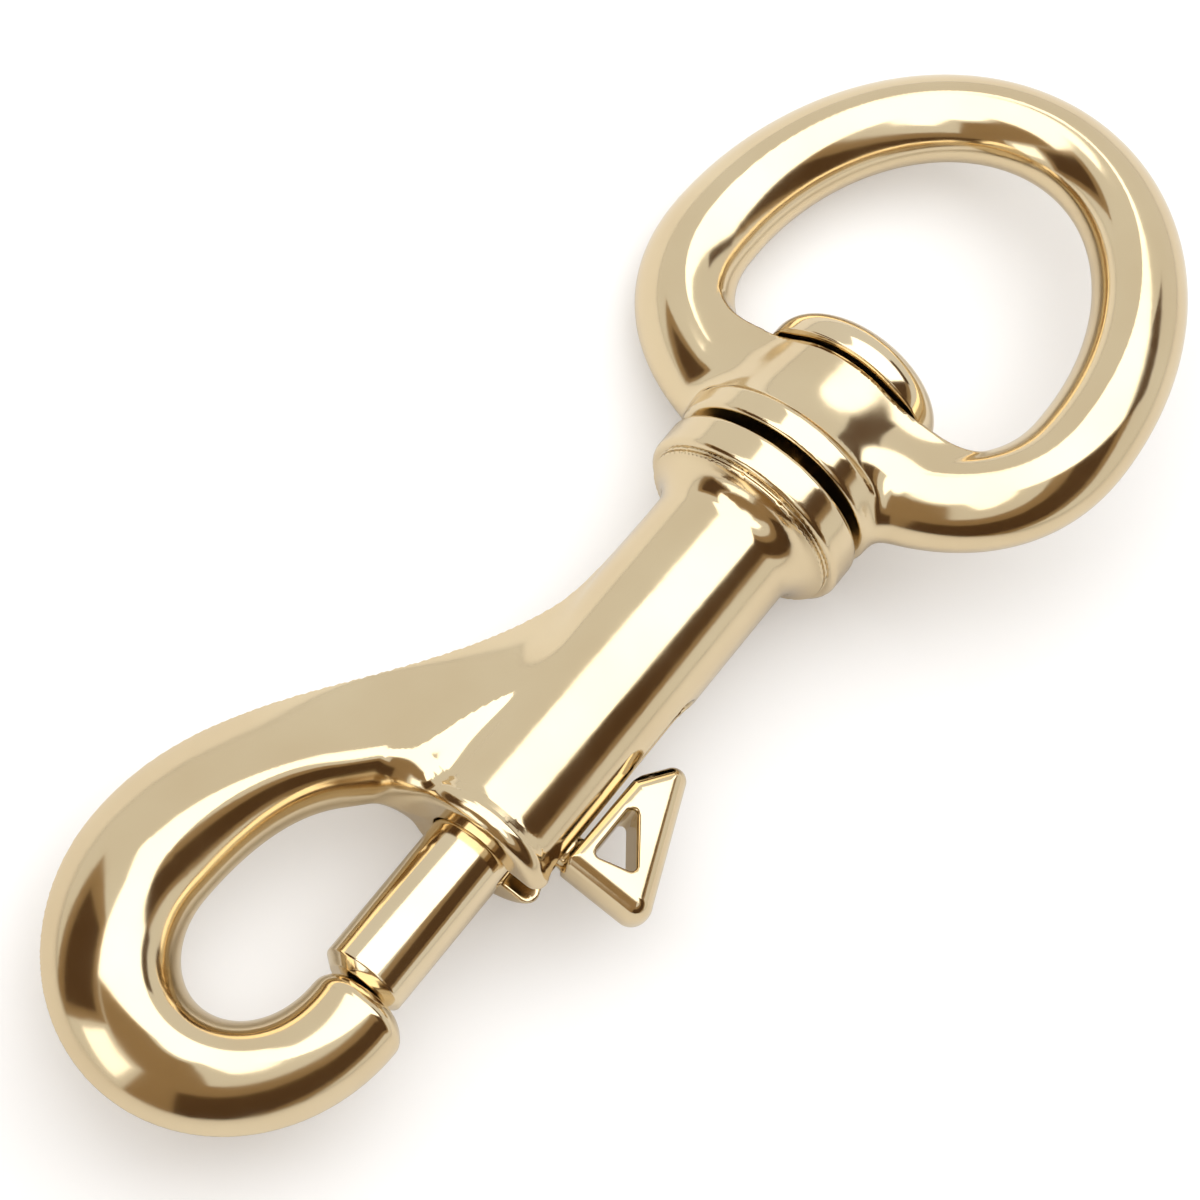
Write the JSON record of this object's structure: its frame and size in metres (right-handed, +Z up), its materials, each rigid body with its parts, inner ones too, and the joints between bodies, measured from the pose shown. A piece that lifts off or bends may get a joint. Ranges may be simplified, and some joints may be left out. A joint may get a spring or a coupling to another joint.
{
  "type": "swivel bolt snap",
  "caption": "Snap hook closed by a sprung sliding bolt with a side thumb lever, with an oval eye that turns on a riveted swivel.",
  "frame": {"origin": "centre of the bounding box in plan, at the height of the table the part lies on", "axes": "+X along the barrel from the hook to the eye, +Y towards the back of the hook, away from the thumb lever, +Z up from the table"},
  "size_m": [0.1095, 0.0426, 0.017],
  "materials": {
    "bronze_casting": "polished champagne bronze plate",
    "bronze_turning": "polished champagne bronze plate",
    "spring_wire": "drawn spring wire"
  },
  "bodies": {
    "snap_body": {"hook_body": "bronze_casting", "swivel_rivet": "bronze_turning", "coil_spring": "spring_wire"},
    "sliding_bolt": {"bolt": "bronze_turning", "thumb_lever": "bronze_turning"},
    "eye": {"swivel_eye": "bronze_casting"}
  },
  "joints": [
    {"name": "bolt_slide", "type": "slide", "parent": "snap_body", "child": "sliding_bolt", "axis": [1, 0, 0], "range_m": [0, 0.013], "stiffness_N_per_m": 600, "springref_m": -0.002, "deforming": ["coil_spring"]},
    {"name": "eye_swivel", "type": "hinge", "parent": "snap_body", "child": "eye", "pos_m": [0.01255, -0.00089, 0.0085], "axis": [1, 0, 0], "continuous": true}
  ]
}
